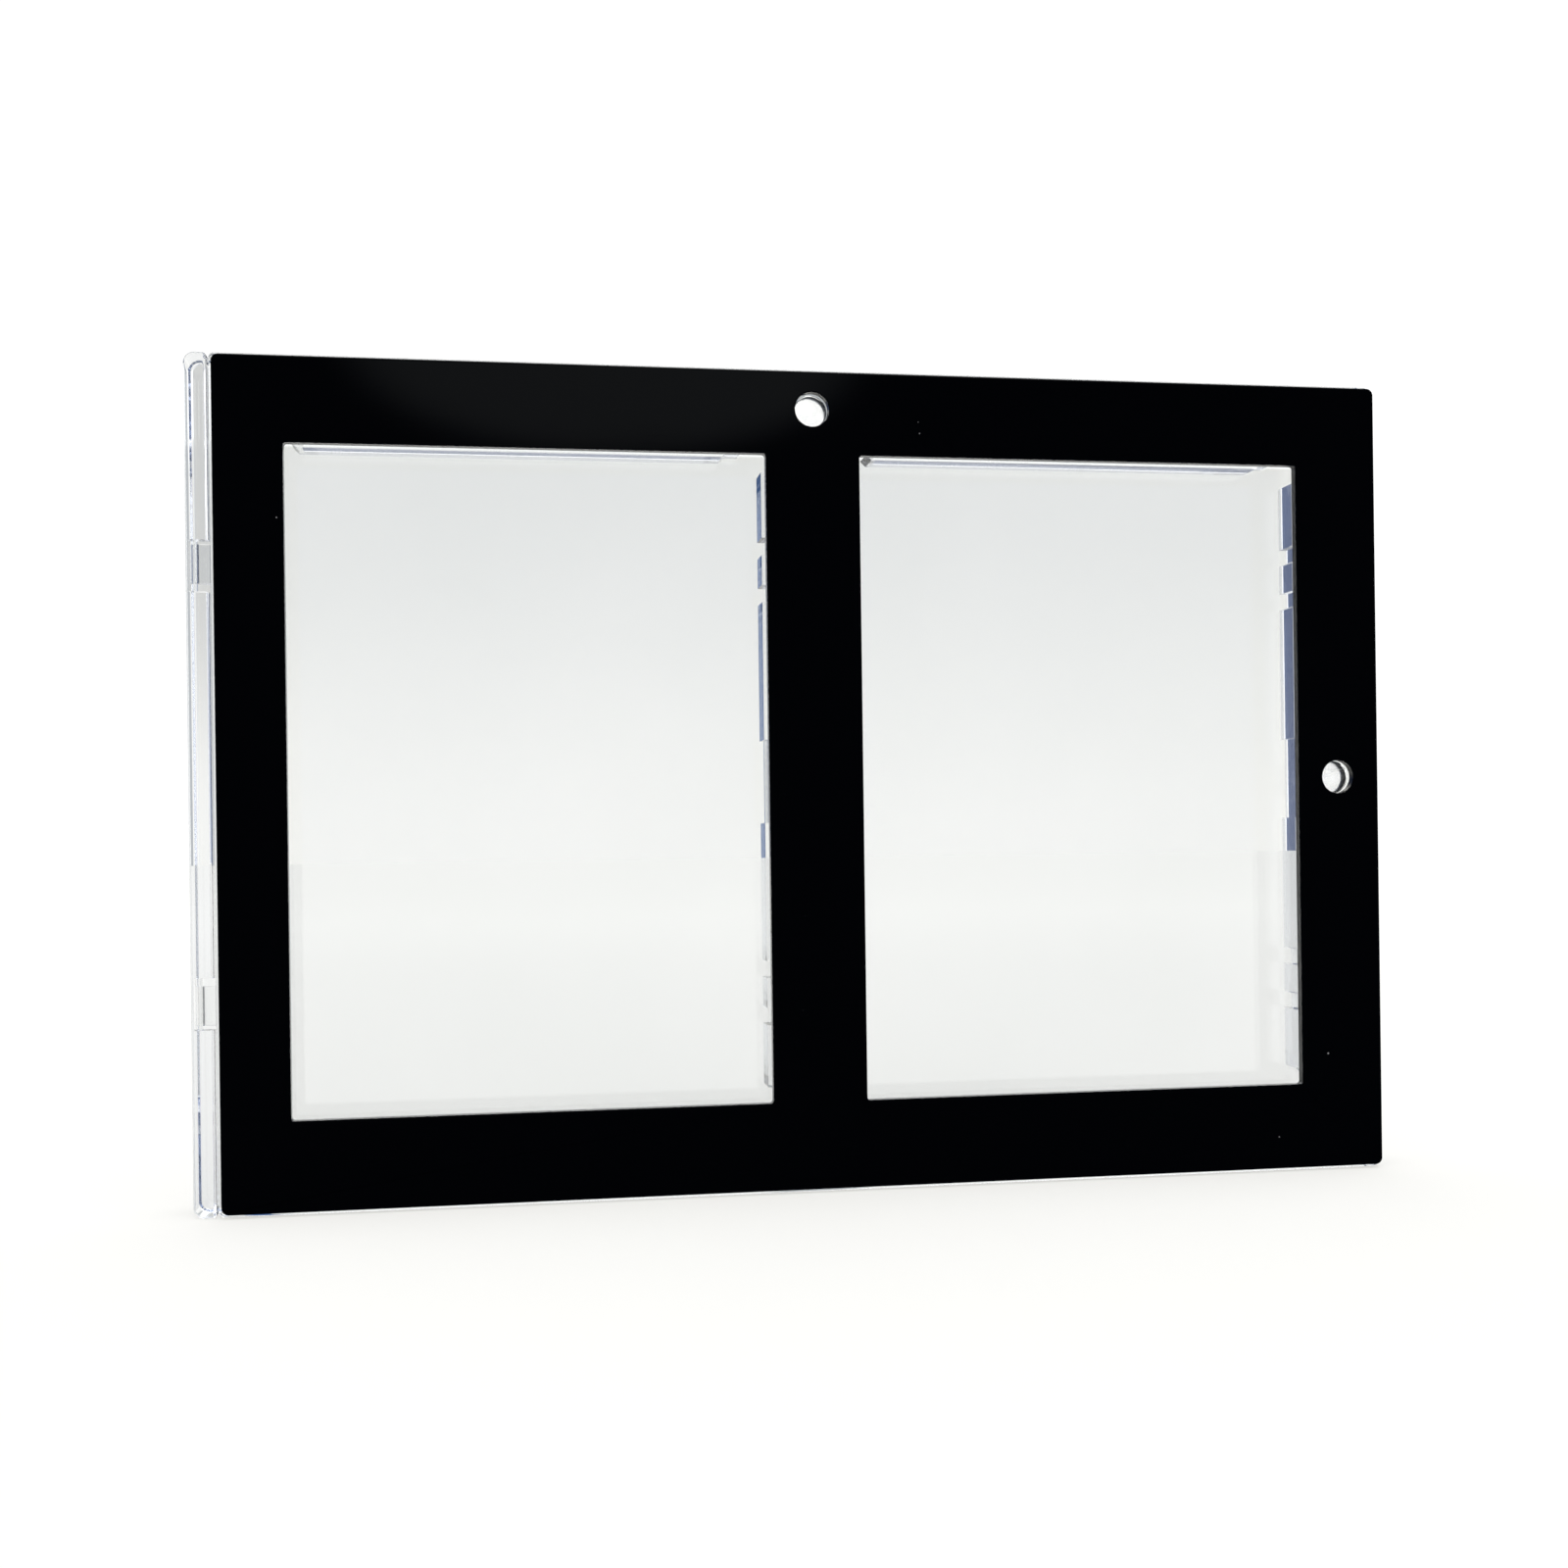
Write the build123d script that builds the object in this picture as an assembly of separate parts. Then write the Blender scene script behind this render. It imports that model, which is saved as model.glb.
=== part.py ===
from build123d import *
import os

# Two-window magnetic trading card case, standing on its long edge.
# X runs to the right, Z up, and the windows face -Y. The origin is the
# middle of the footprint, on the surface that the case stands on.

# Cards, and the borders round the windows that show them
card_width = 63.5
card_height = 88.9
card_thickness = 4.06
window_card_margin = 0.65
side_border = 12.85
middle_border = 13.3
top_border = 12.1
bottom_border = 12.7

# Outer body
tray_thickness = 5.85
cover_thickness = 2.7
bezel_thickness = 1.3
closing_gap = 0.05
body_corner_radius = 1.4
tray_edge_radius = 0.4
cover_edge_radius = 0.4
parting_chamfer = 0.2
cutter_overrun = 1.0

# Hinge lip of the tray, down the left side
lip_width = 2.9
lip_edge_radius = 0.3
lip_groove_radius = 0.5
lip_gap = 0.3
cover_hinge_corner_radius = 0.7

# Hinge pins across the slots of the lip, and the hooks of the cover that snap over them
slot_spacing = 58.2
hook_spacing = 58.7
hook_length = 5.2
hook_wall = 0.3
hook_arm_thickness = 0.9
hook_skin = 0.1
hook_mouth = 0.5
pin_radius = 0.3
pin_clearance = 0.05
pin_from_side = 1.15
slot_length = 6.9
slot_hook_gap = 0.1
slot_floor_gap = 0.35

# Black bezel
bezel_margin = 0.5
bezel_corner_radius = 1.0
bezel_edge_radius = 0.35
window_corner_radius = 0.4
window_edge_chamfer = 0.15
sight_hole_diameter = 4.8

# Card wells in the tray
card_side_clearance = 0.9
card_end_clearance = 1.14
card_face_clearance = 0.34
well_spread = 0.5
well_drop = 0.46
corner_relief_radius = 2.8
rest_length = 57.65
rest_height = 0.77
rest_offset = 1.7
thumb_notch_length = 11.7
thumb_notch_depth = 0.55
grip_spacing = 59.5
grip_length = 4.2
grip_slit = 2.4
grip_slit_depth = 1.1

# Disc magnets
magnet_diameter = 4.76
magnet_thickness = 1.5
magnet_chamfer = 0.2
magnet_clearance = 0.02
magnet_recess = 0.04
magnet_from_top = 5.8
magnet_from_side = 6.8

# Windows and overall size
window_width = card_width + 2 * window_card_margin
window_height = card_height + 2 * window_card_margin
window_pitch = window_width + middle_border
case_width = 2 * side_border + 2 * window_width + middle_border
case_height = bottom_border + window_height + top_border

# Planes across the thickness, from the front
total_thickness = bezel_thickness + cover_thickness + closing_gap + tray_thickness
bezel_front = -total_thickness / 2
cover_front = bezel_front + bezel_thickness
cover_back = cover_front + cover_thickness
tray_face = cover_back + closing_gap
tray_back = tray_face + tray_thickness

# Lines across the width
left_side = -case_width / 2
right_side = case_width / 2
lip_inner = left_side + lip_width
cover_left = lip_inner + lip_gap
bezel_left = cover_left + bezel_margin
bezel_right = right_side - bezel_margin

# Hinge axis
hook_bore_radius = pin_radius + pin_clearance
hook_radius = hook_bore_radius + hook_wall
axis_x = left_side + pin_from_side
axis_y = cover_front + hook_skin + hook_radius
middle_height = case_height / 2
slot_heights = (middle_height - slot_spacing / 2, middle_height + slot_spacing / 2)
hook_heights = (middle_height - hook_spacing / 2, middle_height + hook_spacing / 2)
slot_outer = axis_x - hook_radius - slot_hook_gap
slot_floor = axis_y + hook_radius + slot_floor_gap

# Windows, wells and magnets
window_height_centre = bottom_border + window_height / 2
window_centres = (-window_pitch / 2, window_pitch / 2)
well_centres = (window_centres[0] - well_spread, window_centres[1] + well_spread)
grip_heights = (middle_height - grip_spacing / 2, middle_height + grip_spacing / 2)
well_width = card_width + 2 * card_side_clearance
well_height = card_height + 2 * card_end_clearance
well_depth = card_thickness + card_face_clearance
well_floor = tray_face + well_depth
well_low = window_height_centre - well_drop - well_height / 2
rest_level = well_low + well_height
well_high = rest_level + rest_height
magnet_spots = {
    "top": (0.0, case_height - magnet_from_top),
    "side": (right_side - magnet_from_side, middle_height),
}


def block(x_low, x_high, y_low, y_high, z_low, z_high):
    size = (x_high - x_low, y_high - y_low, z_high - z_low)
    middle = ((x_low + x_high) / 2, (y_low + y_high) / 2, (z_low + z_high) / 2)
    return Pos(*middle) * Box(*size)


def rounded_plate(x_low, x_high, z_low, z_high, y_front, y_back, left_radius, right_radius):
    # A plate with its own corner radius on each side
    plate = block(x_low, x_high, y_front, y_back, z_low, z_high)
    corners = plate.edges().filter_by(Axis.Y).sort_by(Axis.X)
    plate = fillet(corners[:2], left_radius)
    corners = plate.edges().filter_by(Axis.Y).sort_by(Axis.X)
    return fillet(corners[-2:], right_radius)


def disc(x, z, y_front, y_back, radius):
    turned = Pos(x, (y_front + y_back) / 2, z) * Rot(X=90)
    return turned * Cylinder(radius, y_back - y_front)


def upright_rod(x, y, z_low, z_high, radius):
    return Pos(x, y, (z_low + z_high) / 2) * Cylinder(radius, z_high - z_low)


def lip_bar():
    # Full-depth bar down the hinge side, with a softened groove edge
    bar = block(left_side, lip_inner, cover_front, tray_back, 0, case_height)
    bar = fillet(bar.edges().filter_by(Axis.Y).sort_by(Axis.X)[:2], body_corner_radius)
    front_edges = bar.faces().sort_by(Axis.Y)[0].edges().sort_by(Axis.X)
    bar = fillet(front_edges[:-1], lip_edge_radius)
    return fillet(bar.faces().filter_by(Axis.Y).sort_by(Axis.Y)[0].edges().sort_by(Axis.X)[-1], lip_groove_radius)


def tray_blank():
    # L-shaped section: the slab behind the cover, and the lip beside the cover
    slab = rounded_plate(
        left_side, right_side, 0, case_height, tray_face, tray_back, body_corner_radius, body_corner_radius
    )
    slab = chamfer(slab.faces().sort_by(Axis.Y)[0].edges(), parting_chamfer)
    blank = slab + lip_bar()
    return fillet(blank.faces().sort_by(Axis.Y)[-1].edges(), tray_edge_radius)


def card_rest(centre_x):
    # Land along the top of a well that meets the middle of the card's edge, with sloped ends
    middle = centre_x - rest_offset
    half = rest_length / 2
    corners = (
        (middle - half, rest_level),
        (middle + half, rest_level),
        (middle + half + rest_height, well_high),
        (middle - half - rest_height, well_high),
    )
    face = Plane.XZ * make_face(Polyline(*corners, close=True))
    return Pos(Y=well_floor) * extrude(face, well_depth)


def card_well(centre_x):
    # Pocket with a round relief in each corner and a rest along its top
    left = centre_x - well_width / 2
    right = centre_x + well_width / 2
    well = block(left, right, tray_face, well_floor, well_low, well_high)
    for corner_x in (left, right):
        for corner_z in (well_low, well_high):
            well += disc(corner_x, corner_z, tray_face, well_floor, corner_relief_radius)
    return well - card_rest(centre_x)


def wall_notch(wall, side, reach, centre_z, length):
    # Cut into a side wall of a well, as far outward as reach
    ends = sorted((wall - side * reach, wall + side * reach))
    return block(ends[0], ends[1], tray_face, well_floor, centre_z - length / 2, centre_z + length / 2)


def side_notches(centre_x):
    notches = []
    for side in (-1, 1):
        wall = centre_x + side * well_width / 2
        notches.append(wall_notch(wall, side, thumb_notch_depth, middle_height, thumb_notch_length))
        for grip_z in grip_heights:
            for end in (-1, 1):
                slit_z = grip_z + end * (grip_length + grip_slit) / 2
                notches.append(wall_notch(wall, side, grip_slit_depth, slit_z, grip_slit))
    return notches


def hinge_slot(height):
    # Open to the front and to the cover, and crossed by the hinge pin
    low = height - slot_length / 2
    high = height + slot_length / 2
    slot = block(slot_outer, cover_left, cover_front - cutter_overrun, slot_floor, low, high)
    return slot - upright_rod(axis_x, axis_y, low, high, pin_radius)


def magnet_pocket(spot, y_front, y_back):
    x, z = magnet_spots[spot]
    return disc(x, z, y_front, y_back, magnet_diameter / 2 + magnet_clearance)


def back_tray():
    tray = tray_blank()
    for centre_x in well_centres:
        tray -= card_well(centre_x)
        for notch in side_notches(centre_x):
            tray -= notch
    for height in slot_heights:
        tray -= hinge_slot(height)
    for spot in magnet_spots:
        tray -= magnet_pocket(spot, tray_face, tray_face + magnet_thickness + 2 * magnet_recess)
    return tray


def hinge_hook(height):
    # Arm that ends in a round hook, bored for the pin and open at the back to snap over it
    low = height - hook_length / 2
    high = height + hook_length / 2
    arm_end = cover_left + cover_hinge_corner_radius
    arm_front = axis_y - hook_arm_thickness / 2
    hook = block(axis_x, arm_end, arm_front, arm_front + hook_arm_thickness, low, high)
    hook += upright_rod(axis_x, axis_y, low, high, hook_radius)
    hook -= upright_rod(axis_x, axis_y, low, high, hook_bore_radius)
    return hook - block(axis_x - hook_mouth / 2, axis_x + hook_mouth / 2, axis_y, slot_floor, low, high)


def front_cover():
    cover = rounded_plate(
        cover_left, right_side, 0, case_height, cover_front, cover_back, cover_hinge_corner_radius, body_corner_radius
    )
    front_edges = cover.faces().sort_by(Axis.Y)[0].edges()
    cover = fillet(front_edges, cover_edge_radius)
    back_edges = cover.faces().sort_by(Axis.Y)[-1].edges()
    cover = chamfer(back_edges, parting_chamfer)
    for height in hook_heights:
        cover += hinge_hook(height)
    for spot in magnet_spots:
        cover -= magnet_pocket(spot, cover_back - magnet_thickness - 2 * magnet_recess, cover_back)
    return cover


def black_bezel():
    bezel = rounded_plate(
        bezel_left, bezel_right, bezel_margin, case_height - bezel_margin,
        bezel_front, cover_front, bezel_corner_radius, bezel_corner_radius,
    )
    bezel = fillet(bezel.faces().sort_by(Axis.Y)[0].edges(), bezel_edge_radius)
    half_width = window_width / 2
    half_height = window_height / 2
    for centre_x in window_centres:
        bezel -= rounded_plate(
            centre_x - half_width, centre_x + half_width,
            window_height_centre - half_height, window_height_centre + half_height,
            bezel_front - cutter_overrun, cover_front + cutter_overrun,
            window_corner_radius, window_corner_radius,
        )
    for x, z in magnet_spots.values():
        hole_radius = sight_hole_diameter / 2
        bezel -= disc(x, z, bezel_front - cutter_overrun, cover_front + cutter_overrun, hole_radius)
    openings = bezel.faces().sort_by(Axis.Y)[0].inner_wires()
    return chamfer([edge for wire in openings for edge in wire.edges()], window_edge_chamfer)


def disc_magnet(spot, y_front):
    x, z = magnet_spots[spot]
    magnet = disc(x, z, y_front, y_front + magnet_thickness, magnet_diameter / 2)
    return chamfer(magnet.edges().filter_by(GeomType.CIRCLE), magnet_chamfer)


def write_parts():
    os.makedirs("parts", exist_ok=True)
    cover_magnet_front = cover_back - magnet_recess - magnet_thickness
    tray_magnet_front = tray_face + magnet_recess
    pieces = {
        "back_tray": back_tray(),
        "front_cover": front_cover(),
        "black_bezel": black_bezel(),
    }
    for spot in magnet_spots:
        pieces[f"cover_magnet_{spot}"] = disc_magnet(spot, cover_magnet_front)
        pieces[f"tray_magnet_{spot}"] = disc_magnet(spot, tray_magnet_front)
    for name, solid in pieces.items():
        export_step(solid, f"parts/{name}.step")


write_parts()
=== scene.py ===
import math

import bmesh
import bpy
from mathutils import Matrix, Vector


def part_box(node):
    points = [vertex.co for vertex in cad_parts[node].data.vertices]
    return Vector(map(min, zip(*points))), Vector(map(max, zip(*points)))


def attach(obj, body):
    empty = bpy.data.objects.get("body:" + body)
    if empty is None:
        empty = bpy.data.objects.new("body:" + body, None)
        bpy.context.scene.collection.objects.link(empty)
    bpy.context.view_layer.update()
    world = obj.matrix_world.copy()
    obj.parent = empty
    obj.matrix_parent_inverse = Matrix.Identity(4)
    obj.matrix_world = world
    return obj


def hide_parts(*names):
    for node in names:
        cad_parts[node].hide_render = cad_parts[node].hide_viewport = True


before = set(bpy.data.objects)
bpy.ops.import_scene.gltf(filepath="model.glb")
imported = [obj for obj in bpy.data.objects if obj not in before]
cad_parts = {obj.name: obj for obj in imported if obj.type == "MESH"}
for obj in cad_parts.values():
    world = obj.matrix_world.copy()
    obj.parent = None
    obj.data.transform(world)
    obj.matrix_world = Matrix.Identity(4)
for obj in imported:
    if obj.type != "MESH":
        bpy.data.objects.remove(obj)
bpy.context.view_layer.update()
scene = bpy.context.scene
mm = 0.001
print("frame loaded")


def addNode(tree, kind, **settings):
    node = tree.nodes.new(kind)
    for name, value in settings.items():
        setattr(node, name, value)
    return node


def setInputs(node, **values):
    # spaces in socket names are written as underscores
    for name, value in values.items():
        node.inputs[name.replace("_", " ")].default_value = value
    return node


def wire(tree, source, target):
    tree.links.new(source, target)


def mathNode(tree, operation, first, second=None, third=None, clamp=False):
    node = addNode(tree, "ShaderNodeMath", operation=operation, use_clamp=clamp)
    for socket, value in zip(node.inputs, (first, second, third)):
        if value is None:
            continue
        if isinstance(value, (int, float)):
            socket.default_value = value
        else:
            wire(tree, value, socket)
    return node.outputs[0]


def ramp(tree, value, fromLow, fromHigh, toLow=0.0, toHigh=1.0):
    node = addNode(tree, "ShaderNodeMapRange", interpolation_type="SMOOTHSTEP")
    setInputs(node, From_Min=fromLow, From_Max=fromHigh, To_Min=toLow, To_Max=toHigh)
    wire(tree, value, node.inputs["Value"])
    return node.outputs["Result"]


def blendColour(tree, factor, first, second):
    node = addNode(tree, "ShaderNodeMix", data_type="RGBA")
    for name, value in (("Factor", factor), ("A", first), ("B", second)):
        if isinstance(value, (tuple, float)):
            node.inputs[name].default_value = value
        else:
            wire(tree, value, node.inputs[name])
    return node.outputs["Result"]


def newGroup(name, inputs, outputs):
    tree = bpy.data.node_groups.new(name, "ShaderNodeTree")
    for label, kind, value in inputs:
        socket = tree.interface.new_socket(label, in_out="INPUT", socket_type=kind)
        socket.default_value = value
    for label, kind in outputs:
        tree.interface.new_socket(label, in_out="OUTPUT", socket_type=kind)
    return tree, addNode(tree, "NodeGroupInput"), addNode(tree, "NodeGroupOutput")


def newMaterial(name):
    material = bpy.data.materials.new(name)
    material.use_nodes = True
    tree = material.node_tree
    return material, tree, tree.nodes["Principled BSDF"]


def useGroup(tree, group, **values):
    node = addNode(tree, "ShaderNodeGroup", node_tree=group)
    return setInputs(node, **values)


def newObject(name, mesh):
    piece = bpy.data.objects.new(name, mesh)
    scene.collection.objects.link(piece)
    return piece


cameraSet = {
    "across": -42.17 * mm,
    "away": 235.18 * mm,  # in front of the bezel
    "height": 48.63 * mm,
    "turn": 9.04,  # degrees to the right of square on
    "lean": 0.74,
    "lens": 39.375,
    "sensor": 36.0,
    "rise": 0.0385,  # upward shift of the frame
}

eye = bpy.data.objects.new("caseCamera", bpy.data.cameras.new("caseCamera"))
scene.collection.objects.link(eye)
eye.location = (cameraSet["across"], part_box("black_bezel")[0].y - cameraSet["away"], cameraSet["height"])
eye.rotation_euler = [math.radians(angle) for angle in (90, cameraSet["lean"], -cameraSet["turn"])]
eye.data.lens = cameraSet["lens"]
eye.data.sensor_width = cameraSet["sensor"]
eye.data.shift_y = cameraSet["rise"]
eye.data.clip_start = 0.01
eye.data.clip_end = 50.0
scene.camera = eye
print("camera placed")


def buildDust():
    # specks of dust: small soft dots, few and of mixed size
    tree, given, result = newGroup(
        "dustSpecks",
        [
            ("Spacing", "NodeSocketFloat", 220.0),
            ("Size", "NodeSocketFloat", 0.05),
            ("Share", "NodeSocketFloat", 0.2),
        ],
        [("Mask", "NodeSocketFloat")],
    )
    place = addNode(tree, "ShaderNodeTexCoord")
    cells = addNode(tree, "ShaderNodeTexVoronoi", feature="F1")
    wire(tree, place.outputs["Object"], cells.inputs["Vector"])
    wire(tree, given.outputs["Spacing"], cells.inputs["Scale"])
    dice = addNode(tree, "ShaderNodeSeparateColor")
    wire(tree, cells.outputs["Color"], dice.inputs["Color"])
    chosen = mathNode(tree, "LESS_THAN", dice.outputs["Red"], given.outputs["Share"])
    reach = mathNode(tree, "MULTIPLY", dice.outputs["Green"], given.outputs["Size"])
    near = mathNode(tree, "SUBTRACT", reach, cells.outputs["Distance"])
    soft = mathNode(tree, "DIVIDE", near, given.outputs["Size"], clamp=True)
    mask = mathNode(tree, "MULTIPLY", mathNode(tree, "MULTIPLY", soft, 3.0, clamp=True), chosen)
    wire(tree, mask, result.inputs["Mask"])
    return tree


def buildHairlines():
    # fine scratches: long thin streaks in three directions, broken up by patches
    tree, given, result = newGroup(
        "hairlines",
        [("Fineness", "NodeSocketFloat", 900.0), ("Amount", "NodeSocketFloat", 0.5)],
        [("Mask", "NodeSocketFloat")],
    )
    place = addNode(tree, "ShaderNodeTexCoord")
    total = None
    for turn, offset in ((0.5, 0.3), (1.7, 1.1), (2.6, 2.3)):
        turned = addNode(tree, "ShaderNodeMapping")
        turned.inputs["Rotation"].default_value = (0.0, turn, 0.0)
        turned.inputs["Location"].default_value = (offset, 0.0, offset)
        turned.inputs["Scale"].default_value = (0.03, 1.0, 1.0)
        wire(tree, place.outputs["Object"], turned.inputs["Vector"])
        streaks = addNode(tree, "ShaderNodeTexNoise")
        setInputs(streaks, Detail=2.0, Roughness=0.6)
        wire(tree, turned.outputs["Vector"], streaks.inputs["Vector"])
        wire(tree, given.outputs["Fineness"], streaks.inputs["Scale"])
        peak = mathNode(tree, "SUBTRACT", streaks.outputs["Fac"], 0.66)
        line = mathNode(tree, "MULTIPLY", peak, 12.0, clamp=True)
        total = line if total is None else mathNode(tree, "MAXIMUM", total, line)
    patches = addNode(tree, "ShaderNodeTexNoise")
    setInputs(patches, Scale=60.0, Detail=3.0)
    wire(tree, place.outputs["Object"], patches.inputs["Vector"])
    patch = mathNode(tree, "SUBTRACT", patches.outputs["Fac"], 0.45)
    where = mathNode(tree, "MULTIPLY", patch, 4.0, clamp=True)
    mask = mathNode(tree, "MULTIPLY", mathNode(tree, "MULTIPLY", total, where), given.outputs["Amount"])
    wire(tree, mask, result.inputs["Mask"])
    return tree


def buildCloud():
    # slow variation over the surface, as from wiping
    tree, given, result = newGroup(
        "wipeCloud",
        [
            ("Scale", "NodeSocketFloat", 40.0),
            ("Low", "NodeSocketFloat", 0.0),
            ("High", "NodeSocketFloat", 1.0),
        ],
        [("Value", "NodeSocketFloat")],
    )
    place = addNode(tree, "ShaderNodeTexCoord")
    noise = addNode(tree, "ShaderNodeTexNoise")
    setInputs(noise, Detail=4.0, Roughness=0.55)
    wire(tree, place.outputs["Object"], noise.inputs["Vector"])
    wire(tree, given.outputs["Scale"], noise.inputs["Scale"])
    spread = addNode(tree, "ShaderNodeMapRange")
    setInputs(spread, From_Min=0.3, From_Max=0.7)
    wire(tree, noise.outputs["Fac"], spread.inputs["Value"])
    wire(tree, given.outputs["Low"], spread.inputs["To Min"])
    wire(tree, given.outputs["High"], spread.inputs["To Max"])
    wire(tree, spread.outputs["Result"], result.inputs["Value"])
    return tree


dustSpecks = buildDust()
hairlines = buildHairlines()
wipeCloud = buildCloud()


def addScratches(tree, shader, settings):
    # shallow grooves in the surface; gives the mask for the roughness
    scratch = useGroup(tree, hairlines, **settings["scratch"])
    bump = addNode(tree, "ShaderNodeBump")
    setInputs(bump, Strength=settings["grooveStrength"], Distance=settings["grooveDepth"])
    wire(tree, scratch.outputs["Mask"], bump.inputs["Height"])
    wire(tree, bump.outputs["Normal"], shader.inputs["Normal"])
    return scratch.outputs["Mask"]


clearSet = {
    "index": 1.57,
    "tintLow": (0.943, 0.949, 0.945, 1.0),
    "tintHigh": (0.96, 0.964, 0.961, 1.0),
    "tintScale": 25.0,
    "smoke": 10.0,  # absorption per metre, of the colours that smokeTint lacks
    "smokeTint": (0.0, 0.1, 0.33, 1.0),
    "dust": {"Spacing": 160.0, "Size": 0.035, "Share": 0.12},
    "dustRoughness": 0.12,
    "scratch": {"Fineness": 1500.0, "Amount": 0.5},
    "grooveStrength": 0.15,
    "grooveDepth": 0.0003 * mm,
}


def buildClearPlastic():
    material, tree, shader = newMaterial("clearPlastic")
    setInputs(shader, IOR=clearSet["index"], Transmission_Weight=1.0, Metallic=0.0)
    cloud = useGroup(tree, wipeCloud, Scale=clearSet["tintScale"])
    tint = blendColour(tree, cloud.outputs["Value"], clearSet["tintLow"], clearSet["tintHigh"])
    wire(tree, tint, shader.inputs["Base Color"])
    dust = useGroup(tree, dustSpecks, **clearSet["dust"])
    rough = mathNode(tree, "MULTIPLY", dust.outputs["Mask"], clearSet["dustRoughness"])
    wire(tree, rough, shader.inputs["Roughness"])
    addScratches(tree, shader, clearSet)
    smoke = addNode(tree, "ShaderNodeVolumeAbsorption")
    setInputs(smoke, Color=clearSet["smokeTint"], Density=clearSet["smoke"])
    wire(tree, smoke.outputs["Volume"], tree.nodes["Material Output"].inputs["Volume"])
    return material


blackSet = {
    "plain": (0.0003, 0.0003, 0.0004, 1.0),
    "dusty": (0.22, 0.22, 0.225, 1.0),
    "specular": 0.3,
    "dust": {"Spacing": 400.0, "Size": 0.07, "Share": 0.25},
    "polish": {"Scale": 30.0, "Low": 0.03, "High": 0.07},
    "scratch": {"Fineness": 1800.0, "Amount": 0.6},
    "scratchRoughness": 0.08,
    "grooveStrength": 0.1,
    "grooveDepth": 0.0003 * mm,
}


def buildGlossBlack():
    material, tree, shader = newMaterial("glossBlack")
    setInputs(shader, IOR=1.5, Specular_IOR_Level=blackSet["specular"])
    dust = useGroup(tree, dustSpecks, **blackSet["dust"])
    colour = blendColour(tree, dust.outputs["Mask"], blackSet["plain"], blackSet["dusty"])
    wire(tree, colour, shader.inputs["Base Color"])
    scratch = addScratches(tree, shader, blackSet)
    polish = useGroup(tree, wipeCloud, **blackSet["polish"])
    rough = mathNode(tree, "MULTIPLY_ADD", scratch, blackSet["scratchRoughness"], polish.outputs["Value"])
    wire(tree, rough, shader.inputs["Roughness"])
    return material


nickelSet = {
    "low": (0.80, 0.79, 0.76, 1.0),
    "high": (0.88, 0.87, 0.85, 1.0),
    "stainScale": 700.0,
    "scratch": {"Fineness": 2500.0, "Amount": 1.0},
    "scratchRoughness": 0.2,
    "roughness": 0.18,
}


def buildNickelPlate():
    material, tree, shader = newMaterial("nickelPlate")
    setInputs(shader, Metallic=1.0)
    cloud = useGroup(tree, wipeCloud, Scale=nickelSet["stainScale"])
    colour = blendColour(tree, cloud.outputs["Value"], nickelSet["low"], nickelSet["high"])
    wire(tree, colour, shader.inputs["Base Color"])
    scratch = useGroup(tree, hairlines, **nickelSet["scratch"])
    rough = mathNode(
        tree, "MULTIPLY_ADD", scratch.outputs["Mask"], nickelSet["scratchRoughness"], nickelSet["roughness"]
    )
    wire(tree, rough, shader.inputs["Roughness"])
    return material


clearPlastic = buildClearPlastic()
glossBlack = buildGlossBlack()
nickelPlate = buildNickelPlate()
print("finishes mixed")


shellSet = {"sharpAngle": 30, "weld": 0.001 * mm}


def dressShell(node, name, body):
    # welded copy of the solid, with even shading over its rounded edges
    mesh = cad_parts[node].data.copy()
    mesh.name = name
    solid = bmesh.new()
    solid.from_mesh(mesh)
    bmesh.ops.remove_doubles(solid, verts=solid.verts, dist=shellSet["weld"])
    sharp = math.radians(shellSet["sharpAngle"])
    for edge in solid.edges:
        edge.smooth = len(edge.link_faces) == 2 and edge.calc_face_angle() < sharp
    for face in solid.faces:
        face.smooth = True
    solid.to_mesh(mesh)
    solid.free()
    mesh.materials.clear()
    mesh.materials.append(clearPlastic)
    shell = newObject(name, mesh)
    weigh = shell.modifiers.new("evenShading", "WEIGHTED_NORMAL")
    weigh.keep_sharp = True
    weigh.weight = 100
    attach(shell, body)
    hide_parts(node)


dressShell("back_tray", "clearTray", "tray")
dressShell("front_cover", "clearCover", "cover")
print("clear shells dressed")


bezelSet = {
    "cornerRadius": 1.0 * mm,
    "edgeRadius": 0.35 * mm,
    "windowWidth": 64.8 * mm,
    "windowHeight": 90.2 * mm,
    "windowPitch": 78.1 * mm,
    "windowMiddle": 57.8 * mm,
    "windowRadius": 0.4 * mm,
    "windowBreak": 0.15 * mm,
    "holeRadius": 2.4 * mm,
    "glueSink": 0.01 * mm,  # how far the back is set into the cover
}
magnetSpots = ((0.0, 109.2 * mm), (77.5 * mm, 57.5 * mm))


def geometryTree(name, inputs):
    tree = bpy.data.node_groups.new(name, "GeometryNodeTree")
    tree.is_modifier = True
    keys = {}
    for label, kind, value in inputs:
        socket = tree.interface.new_socket(label, in_out="INPUT", socket_type=kind)
        if value is not None:
            socket.default_value = value
        keys[label] = socket.identifier
    tree.interface.new_socket("Geometry", in_out="OUTPUT", socket_type="NodeSocketGeometry")
    return tree, keys, addNode(tree, "NodeGroupInput"), addNode(tree, "NodeGroupOutput")


def finishTree(tree, geometry, given, result):
    real = addNode(tree, "GeometryNodeRealizeInstances")
    coat = addNode(tree, "GeometryNodeSetMaterial")
    wire(tree, geometry, real.inputs["Geometry"])
    wire(tree, real.outputs["Geometry"], coat.inputs["Geometry"])
    wire(tree, given.outputs["Finish"], coat.inputs["Material"])
    wire(tree, coat.outputs["Geometry"], result.inputs["Geometry"])


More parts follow.
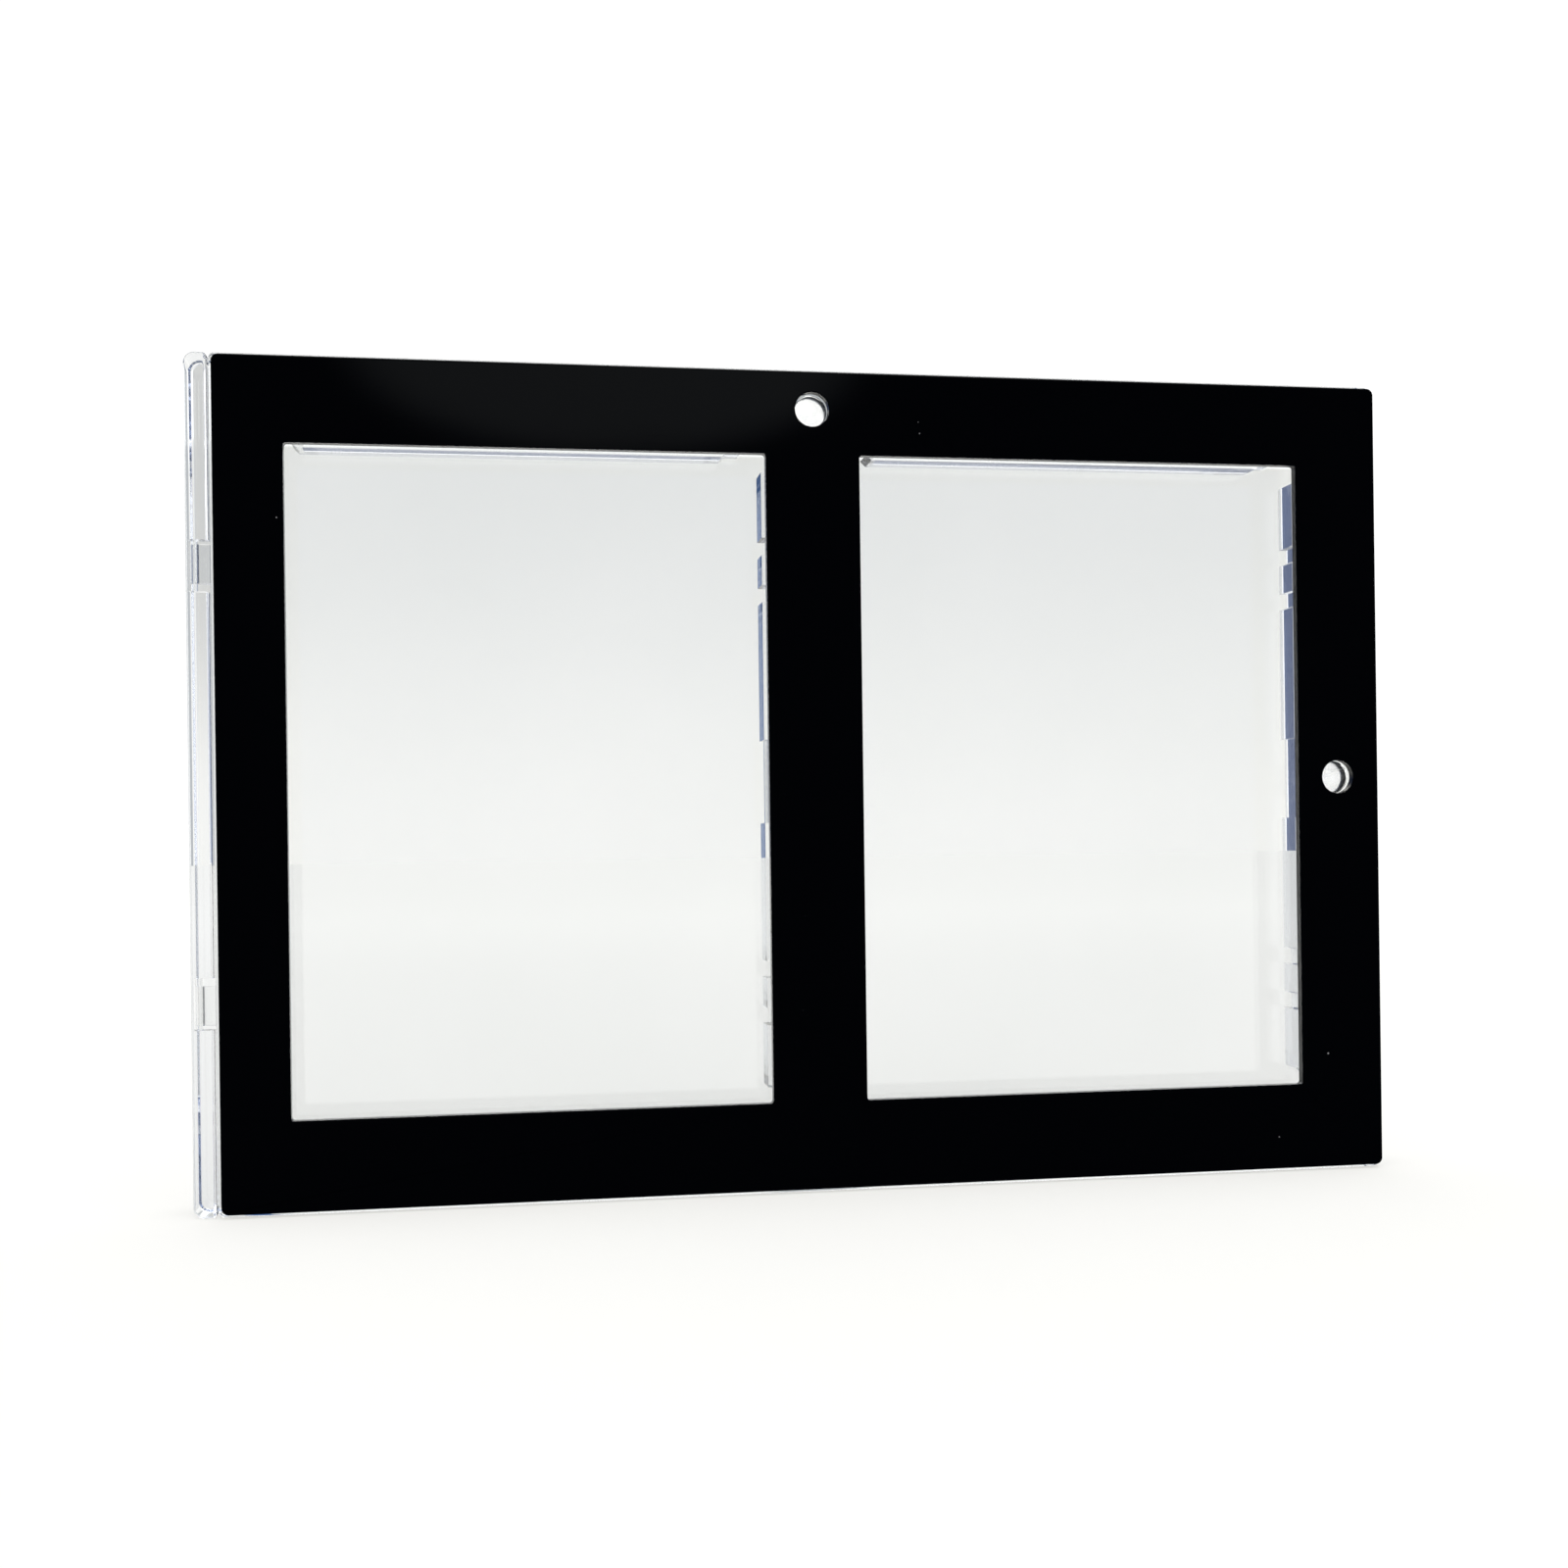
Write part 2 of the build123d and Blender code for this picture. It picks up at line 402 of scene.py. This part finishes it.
def growMesh(name, tree, keys, values, finishers=()):
    # runs a geometry tree once and keeps the plain mesh
    seed = newObject(name + "Seed", bpy.data.meshes.new(name + "Seed"))
    maker = seed.modifiers.new("maker", "NODES")
    maker.node_group = tree
    for label, value in values.items():
        maker[keys[label]] = value
    for kind, settings in finishers:
        extra = seed.modifiers.new(kind.lower(), kind)
        for key, value in settings.items():
            setattr(extra, key, value)
    graph = bpy.context.evaluated_depsgraph_get()
    graph.update()
    grown = seed.evaluated_get(graph)
    mesh = bpy.data.meshes.new_from_object(grown, preserve_all_data_layers=True, depsgraph=graph)
    seed.modifiers.clear()
    bpy.data.objects.remove(seed)
    mesh.name = name
    return newObject(name, mesh)


def joinXYZ(tree, x=0.0, y=0.0, z=0.0):
    node = addNode(tree, "ShaderNodeCombineXYZ")
    for socket, value in zip(node.inputs, (x, y, z)):
        if isinstance(value, (int, float)):
            socket.default_value = value
        else:
            wire(tree, value, socket)
    return node.outputs["Vector"]


def roundedOutline(tree, width, height, radius, count):
    plain = addNode(tree, "GeometryNodeCurvePrimitiveQuadrilateral")
    wire(tree, width, plain.inputs["Width"])
    wire(tree, height, plain.inputs["Height"])
    rounded = addNode(tree, "GeometryNodeFilletCurve")
    wire(tree, plain.outputs["Curve"], rounded.inputs["Curve"])
    if "Mode" in rounded.inputs:
        rounded.inputs["Mode"].default_value = "Poly"
    else:
        rounded.mode = "POLY"
    rounded.inputs["Count"].default_value = count
    wire(tree, radius, rounded.inputs["Radius"])
    return rounded.outputs["Curve"]


def moved(tree, geometry, shift):
    node = addNode(tree, "GeometryNodeTransform")
    wire(tree, geometry, node.inputs["Geometry"])
    wire(tree, shift, node.inputs["Translation"])
    return node.outputs["Geometry"]


def buildBezelTree():
    # outline and openings are drawn flat, filled, given their thickness and stood up
    lengths = (
        "Width", "Height", "Corner Radius", "Middle X", "Middle Z", "Window Width", "Window Height",
        "Window Pitch", "Window Middle", "Window Radius", "Hole Radius", "Front Y", "Back Y", "Opening Share",
    )
    inputs = [(label, "NodeSocketFloat", 0.0) for label in lengths]
    inputs += [(label, "NodeSocketVector", None) for label in ("First Hole", "Second Hole")]
    inputs.append(("Finish", "NodeSocketMaterial", None))
    tree, keys, given, result = geometryTree("bezelPlate", inputs)
    value = given.outputs
    plate = roundedOutline(tree, value["Width"], value["Height"], value["Corner Radius"], 14)
    plate = moved(tree, plate, joinXYZ(tree, value["Middle X"], value["Middle Z"]))
    outlines = addNode(tree, "GeometryNodeJoinGeometry")
    wire(tree, plate, outlines.inputs[0])
    window = roundedOutline(tree, value["Window Width"], value["Window Height"], value["Window Radius"], 8)
    for side in (-0.5, 0.5):
        across = mathNode(tree, "MULTIPLY", value["Window Pitch"], side)
        wire(tree, moved(tree, window, joinXYZ(tree, across, value["Window Middle"])), outlines.inputs[0])
    for label in ("First Hole", "Second Hole"):
        ring = addNode(tree, "GeometryNodeCurvePrimitiveCircle")
        ring.inputs["Resolution"].default_value = 72
        wire(tree, value["Hole Radius"], ring.inputs["Radius"])
        wire(tree, moved(tree, ring.outputs["Curve"], value[label]), outlines.inputs[0])
    sheet = addNode(tree, "GeometryNodeFillCurve")
    if "Mode" in sheet.inputs:
        sheet.inputs["Mode"].default_value = "N-gons"
    else:
        sheet.mode = "NGONS"
    wire(tree, outlines.outputs[0], sheet.inputs["Curve"])
    thick = addNode(tree, "GeometryNodeExtrudeMesh")
    thick.inputs["Individual"].default_value = False
    wire(tree, sheet.outputs["Mesh"], thick.inputs["Mesh"])
    wire(tree, joinXYZ(tree, 0.0, 0.0, 1.0), thick.inputs["Offset"])
    wire(tree, mathNode(tree, "SUBTRACT", value["Back Y"], value["Front Y"]), thick.inputs["Offset Scale"])
    back = addNode(tree, "GeometryNodeFlipFaces")
    wire(tree, sheet.outputs["Mesh"], back.inputs["Mesh"])
    closed = addNode(tree, "GeometryNodeJoinGeometry")
    wire(tree, thick.outputs["Mesh"], closed.inputs[0])
    wire(tree, back.outputs["Mesh"], closed.inputs[0])
    welded = addNode(tree, "GeometryNodeMergeByDistance")
    welded.inputs["Distance"].default_value = 0.001 * mm
    wire(tree, closed.outputs[0], welded.inputs["Geometry"])
    # front edges get their share of the bevel width: all of it outside, a part in the openings
    spot = addNode(tree, "ShaderNodeSeparateXYZ")
    wire(tree, addNode(tree, "GeometryNodeInputPosition").outputs[0], spot.inputs[0])
    atFront = mathNode(tree, "GREATER_THAN", spot.outputs["Z"], 0.1 * mm)
    reaches = []
    for label, middle, axis in (("Width", "Middle X", "X"), ("Height", "Middle Z", "Y")):
        away = mathNode(tree, "ABSOLUTE", mathNode(tree, "SUBTRACT", spot.outputs[axis], value[middle]))
        rim = mathNode(tree, "SUBTRACT", mathNode(tree, "MULTIPLY", value[label], 0.5), value["Corner Radius"])
        reaches.append(mathNode(tree, "GREATER_THAN", away, mathNode(tree, "SUBTRACT", rim, 0.01 * mm)))
    outside = mathNode(tree, "MAXIMUM", *reaches)
    share = mathNode(tree, "MAXIMUM", outside, value["Opening Share"])
    angle = addNode(tree, "GeometryNodeInputMeshEdgeAngle")
    folded = mathNode(tree, "GREATER_THAN", angle.outputs["Unsigned Angle"], 1.2)
    weight = mathNode(tree, "MULTIPLY", mathNode(tree, "MULTIPLY", share, atFront), folded)
    marked = addNode(tree, "GeometryNodeStoreNamedAttribute", data_type="FLOAT", domain="EDGE")
    marked.inputs["Name"].default_value = "bevel_weight_edge"
    wire(tree, welded.outputs["Geometry"], marked.inputs["Geometry"])
    wire(tree, weight, marked.inputs["Value"])
    stood = addNode(tree, "GeometryNodeTransform")
    stood.inputs["Rotation"].default_value = (math.radians(90), 0.0, 0.0)
    wire(tree, marked.outputs["Geometry"], stood.inputs["Geometry"])
    placed = moved(tree, stood.outputs["Geometry"], joinXYZ(tree, 0.0, value["Back Y"], 0.0))
    finishTree(tree, placed, given, result)
    return tree, keys


def makeBezel():
    low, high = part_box("black_bezel")
    tree, keys = buildBezelTree()
    bevel = {
        "width": bezelSet["edgeRadius"], "segments": 6, "limit_method": "WEIGHT",
        "use_clamp_overlap": False, "harden_normals": True,
    }
    bezel = growMesh("blackBezel", tree, keys, {
        "Width": high.x - low.x,
        "Height": high.z - low.z,
        "Corner Radius": bezelSet["cornerRadius"],
        "Middle X": (low.x + high.x) / 2,
        "Middle Z": (low.z + high.z) / 2,
        "Window Width": bezelSet["windowWidth"],
        "Window Height": bezelSet["windowHeight"],
        "Window Pitch": bezelSet["windowPitch"],
        "Window Middle": bezelSet["windowMiddle"],
        "Window Radius": bezelSet["windowRadius"],
        "Hole Radius": bezelSet["holeRadius"],
        "Front Y": low.y,
        "Back Y": high.y + bezelSet["glueSink"],
        "Opening Share": bezelSet["windowBreak"] / bezelSet["edgeRadius"],
        "First Hole": (*magnetSpots[0], 0.0),
        "Second Hole": (*magnetSpots[1], 0.0),
        "Finish": glossBlack,
    }, [("BEVEL", bevel)])
    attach(bezel, "cover")
    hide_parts("black_bezel")


makeBezel()
print("bezel cut")


magnetSet = {"radius": 2.38 * mm, "thickness": 1.5 * mm, "edge": 0.2 * mm, "sides": 96}


def buildMagnetTree():
    inputs = [
        ("Radius", "NodeSocketFloat", 0.0),
        ("Thickness", "NodeSocketFloat", 0.0),
        ("Sides", "NodeSocketInt", 96),
        ("First Spot", "NodeSocketVector", None),
        ("Second Spot", "NodeSocketVector", None),
        ("Finish", "NodeSocketMaterial", None),
    ]
    tree, keys, given, result = geometryTree("magnetPair", inputs)
    disc = addNode(tree, "GeometryNodeMeshCylinder", fill_type="NGON")
    wire(tree, given.outputs["Sides"], disc.inputs["Vertices"])
    wire(tree, given.outputs["Radius"], disc.inputs["Radius"])
    wire(tree, given.outputs["Thickness"], disc.inputs["Depth"])
    spots = addNode(tree, "GeometryNodePoints")
    spots.inputs["Count"].default_value = 2
    index = addNode(tree, "GeometryNodeInputIndex")
    pick = addNode(tree, "ShaderNodeMix", data_type="VECTOR")
    wire(tree, index.outputs[0], pick.inputs["Factor"])
    wire(tree, given.outputs["First Spot"], pick.inputs["A"])
    wire(tree, given.outputs["Second Spot"], pick.inputs["B"])
    wire(tree, pick.outputs["Result"], spots.inputs["Position"])
    copies = addNode(tree, "GeometryNodeInstanceOnPoints")
    copies.inputs["Rotation"].default_value = (math.radians(90), 0.0, 0.0)
    wire(tree, spots.outputs[0], copies.inputs["Points"])
    wire(tree, disc.outputs["Mesh"], copies.inputs["Instance"])
    finishTree(tree, copies.outputs["Instances"], given, result)
    return tree, keys


def makeMagnets(tree, keys, body):
    nodes = [f"{body}_magnet_top", f"{body}_magnet_side"]
    centres = [sum(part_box(node), Vector()) / 2 for node in nodes]
    bevel = {
        "width": magnetSet["edge"], "segments": 4, "limit_method": "ANGLE",
        "angle_limit": math.radians(40), "harden_normals": True,
    }
    pair = growMesh(f"{body}Magnets", tree, keys, {
        "Radius": magnetSet["radius"],
        "Thickness": magnetSet["thickness"],
        "Sides": magnetSet["sides"],
        "First Spot": tuple(centres[0]),
        "Second Spot": tuple(centres[1]),
        "Finish": nickelPlate,
    }, [("BEVEL", bevel)])
    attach(pair, body)
    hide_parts(*nodes)


magnetTree, magnetKeys = buildMagnetTree()
for body in ("cover", "tray"):
    makeMagnets(magnetTree, magnetKeys, body)
print("magnets set")


stageSet = {
    "reach": 6.0,
    "drop": 0.02 * mm,  # keeps the paper clear of the standing edge
    "albedo": 0.35,
    "glow": (1.0, 0.995, 0.957, 1.0),
    "nearGlow": 0.626,  # painted shade: weaker glow behind the case
    "farGlow": 0.715,  # painted light: stronger glow towards the horizon
    "nearEnd": 0.1,
    "farEnd": 1.0,
}
# what the clear parts and the polished faces see; slopes are height or width over depth
worldSet = {
    "leastDepth": 0.02,
    "wall": 1.1,
    "horizon": (1.233, 1.221, 1.172, 1.0),
    "above": (1.045, 1.045, 1.012, 1.0),
    "aboveRise": 0.22,
    "leftFrom": -0.158,  # shade behind the hinge lip
    "leftTo": -0.162,
    "leftHighShare": 0.73,
    "leftLowShare": 0.93,
    "leftHigh": 0.16,
    "leftLow": 0.02,
    "sideFrom": 0.45,
    "sideTo": 0.8,
    "sideColour": (0.5, 0.56, 0.72, 1.0),
    "frontFrom": 0.25,
    "frontTo": -0.1,
    "frontColour": (0.12, 0.17, 0.34, 1.0),
    "ceilingFrom": 0.2275,
    "ceilingTo": 0.2295,
    "ceilingLow": (1.5, 1.5, 1.48, 1.0),
    "ceilingLeft": -0.15,
    "ceilingStart": 0.35,
    "ceilingEnd": 0.6,
    "ceiling": (2.2, 2.2, 2.2, 1.0),
    "flagFrom": -0.1478,  # a narrow dark card behind the left of the frame
    "flagTo": -0.134,
    "flagColour": (0.1, 0.2, 0.45, 1.0),
    "middleFlagFrom": 0.1515,  # a grey card behind the middle bar
    "middleFlagTo": 0.2045,
    "middleFlagColour": (0.6, 0.62, 0.63, 1.0),
    "flagSoft": 0.0004,
    "panelFrom": 0.4825,  # white panels in front, to the right and above
    "panelTo": 0.484,
    "panelColour": (2.1, 2.1, 2.07, 1.0),
    "room": (0.014, 0.021, 0.038, 1.0),
    "glowAcross": 0.0585,  # an oval light box in front, seen only in polished faces
    "glowRise": 0.2893,
    "glowWide": 0.1424,
    "glowHigh": 0.0592,
    "glowSoft": 0.16,
    "glowColour": (0.25, 0.27, 0.29, 1.0),
}


def makeFloor():
    # pale paper that glows: painted light, dimmer near the case as painted shade and a little brighter in the
    # distance
    mesh = bpy.data.meshes.new("paleFloor")
    reach = stageSet["reach"]
    corners = [(-reach, -reach, 0.0), (reach, -reach, 0.0), (reach, reach, 0.0), (-reach, reach, 0.0)]
    mesh.from_pydata(corners, [], [(0, 1, 2, 3)])
    floor = newObject("paleFloor", mesh)
    material, tree, shader = newMaterial("palePaper")
    setInputs(shader, Roughness=0.9, Specular_IOR_Level=0.0)
    shader.inputs["Base Color"].default_value = (stageSet["albedo"],) * 3 + (1.0,)
    shader.inputs["Emission Color"].default_value = stageSet["glow"]
    place = addNode(tree, "ShaderNodeTexCoord")
    spot = addNode(tree, "ShaderNodeSeparateXYZ")
    wire(tree, place.outputs["Object"], spot.inputs[0])
    ends = [stageSet[name] for name in ("nearEnd", "farEnd", "nearGlow", "farGlow")]
    # painted light and shade: glow strength set by distance from the case
    glow = ramp(tree, spot.outputs["Y"], *ends)
    wire(tree, glow, shader.inputs["Emission Strength"])
    mesh.materials.append(material)
    floor.visible_glossy = False
    floor.location.z = -stageSet["drop"]


def backdrop(tree, colour, strength=1.0):
    node = addNode(tree, "ShaderNodeBackground")
    for name, value in (("Color", colour), ("Strength", strength)):
        if isinstance(value, (tuple, float)):
            node.inputs[name].default_value = value
        else:
            wire(tree, value, node.inputs[name])
    return node.outputs[0]


def mixShaders(tree, factor, first, second):
    node = addNode(tree, "ShaderNodeMixShader")
    for socket, source in zip(node.inputs, (factor, first, second)):
        wire(tree, source, socket)
    return node.outputs[0]


def lightBox(tree, across, rise, isFront):
    # soft oval: 1 in the middle, 0 outside
    squares = []
    for slope, centre, reach in ((across, "glowAcross", "glowWide"), (rise, "glowRise", "glowHigh")):
        offset = mathNode(tree, "SUBTRACT", slope, worldSet[centre])
        offset = mathNode(tree, "DIVIDE", offset, worldSet[reach])
        squares.append(mathNode(tree, "MULTIPLY", offset, offset))
    away = mathNode(tree, "SQRT", mathNode(tree, "ADD", *squares))
    soften = worldSet["glowSoft"]
    glow = ramp(tree, away, 1.0 + soften, 1.0 - soften)
    return mathNode(tree, "MULTIPLY", glow, isFront)


def makeWorld():
    # a pale backdrop behind, cooler and darker to the sides and in front; polished outsides see the dim room
    world = bpy.data.worlds.new("studio")
    scene.world = world
    world.use_nodes = True
    tree = world.node_tree
    tree.nodes.clear()
    result = addNode(tree, "ShaderNodeOutputWorld")
    direction = addNode(tree, "ShaderNodeTexCoord")
    split = addNode(tree, "ShaderNodeSeparateXYZ")
    wire(tree, direction.outputs["Generated"], split.inputs[0])
    x, y, z = (split.outputs[axis] for axis in "XYZ")

    def rampBetween(value, name, firstEnd="From", secondEnd="To"):
        return ramp(tree, value, worldSet[name + firstEnd], worldSet[name + secondEnd])

    depth = mathNode(tree, "MAXIMUM", mathNode(tree, "ABSOLUTE", y), worldSet["leastDepth"])
    rise = mathNode(tree, "DIVIDE", z, depth)
    across = mathNode(tree, "DIVIDE", x, depth)
    isBehind = mathNode(tree, "GREATER_THAN", y, 0.0)
    isFront = mathNode(tree, "SUBTRACT", 1.0, isBehind)

    height = ramp(tree, z, 0.0, worldSet["aboveRise"])
    around = blendColour(tree, height, worldSet["horizon"], worldSet["above"])
    sides = rampBetween(mathNode(tree, "ABSOLUTE", x), "side")
    around = blendColour(tree, sides, around, worldSet["sideColour"])
    around = blendColour(tree, rampBetween(y, "front"), around, worldSet["frontColour"])
    inReach = mathNode(tree, "GREATER_THAN", across, worldSet["ceilingLeft"])
    low = mathNode(tree, "MULTIPLY", rampBetween(rise, "ceiling"), inReach)
    around = blendColour(tree, low, around, worldSet["ceilingLow"])
    panel = mathNode(tree, "MAXIMUM", rampBetween(across, "panel"), low)
    panel = mathNode(tree, "MULTIPLY", panel, isFront)
    around = blendColour(tree, panel, around, worldSet["panelColour"])
    soft = worldSet["flagSoft"]
    for name in ("flag", "middleFlag"):
        left, right = worldSet[name + "From"], worldSet[name + "To"]
        start = ramp(tree, across, left - soft, left)
        end = ramp(tree, across, right + soft, right)
        card = mathNode(tree, "MULTIPLY", mathNode(tree, "MULTIPLY", start, end), isBehind)
        around = blendColour(tree, card, around, worldSet[name + "Colour"])
    over = blendColour(tree, rampBetween(z, "ceiling", "Start", "End"), around, worldSet["ceiling"])

    ends = [worldSet[name] for name in ("leftLow", "leftHigh", "leftLowShare", "leftHighShare")]
    shade = ramp(tree, rise, *ends)
    isLeft = mathNode(tree, "MULTIPLY", rampBetween(across, "left"), isBehind)
    lost = mathNode(tree, "MULTIPLY", mathNode(tree, "SUBTRACT", 1.0, shade), isLeft)
    share = mathNode(tree, "SUBTRACT", 1.0, lost)

    wall = backdrop(tree, (1.0, 1.0, 1.0, 1.0), worldSet["wall"])
    through = backdrop(tree, over, share)
    glow = lightBox(tree, across, rise, isFront)
    room = backdrop(tree, blendColour(tree, glow, worldSet["room"], worldSet["glowColour"]))
    rays = addNode(tree, "ShaderNodeLightPath")
    mirrored = mathNode(tree, "MULTIPLY", rays.outputs["Is Glossy Ray"], rays.outputs["Is Reflection Ray"])
    inside = mixShaders(tree, rays.outputs["Is Transmission Ray"], wall, through)
    wire(tree, mixShaders(tree, mirrored, inside, room), result.inputs["Surface"])


lampSet = {
    "place": (0.1, -0.1, 1.2),
    "aim": (0.0, 0.0, 0.0),
    "size": 0.8,
    "power": 2.5,
}


def makeTopLight():
    lamp = bpy.data.lights.new("topLight", "AREA")
    lamp.shape = "RECTANGLE"
    lamp.size = lamp.size_y = lampSet["size"]
    lamp.energy = lampSet["power"]
    holder = bpy.data.objects.new("topLight", lamp)
    scene.collection.objects.link(holder)
    holder.location = lampSet["place"]
    direction = Vector(lampSet["aim"]) - Vector(lampSet["place"])
    holder.rotation_euler = direction.to_track_quat("-Z", "Y").to_euler()


makeFloor()
makeWorld()
makeTopLight()
scene.view_settings.view_transform = "Standard"
faceCount = 40  # light passes many faces inside clear plastic
scene.cycles.max_bounces = faceCount
scene.cycles.transmission_bounces = faceCount
scene.cycles.glossy_bounces = faceCount
print("stage lit")
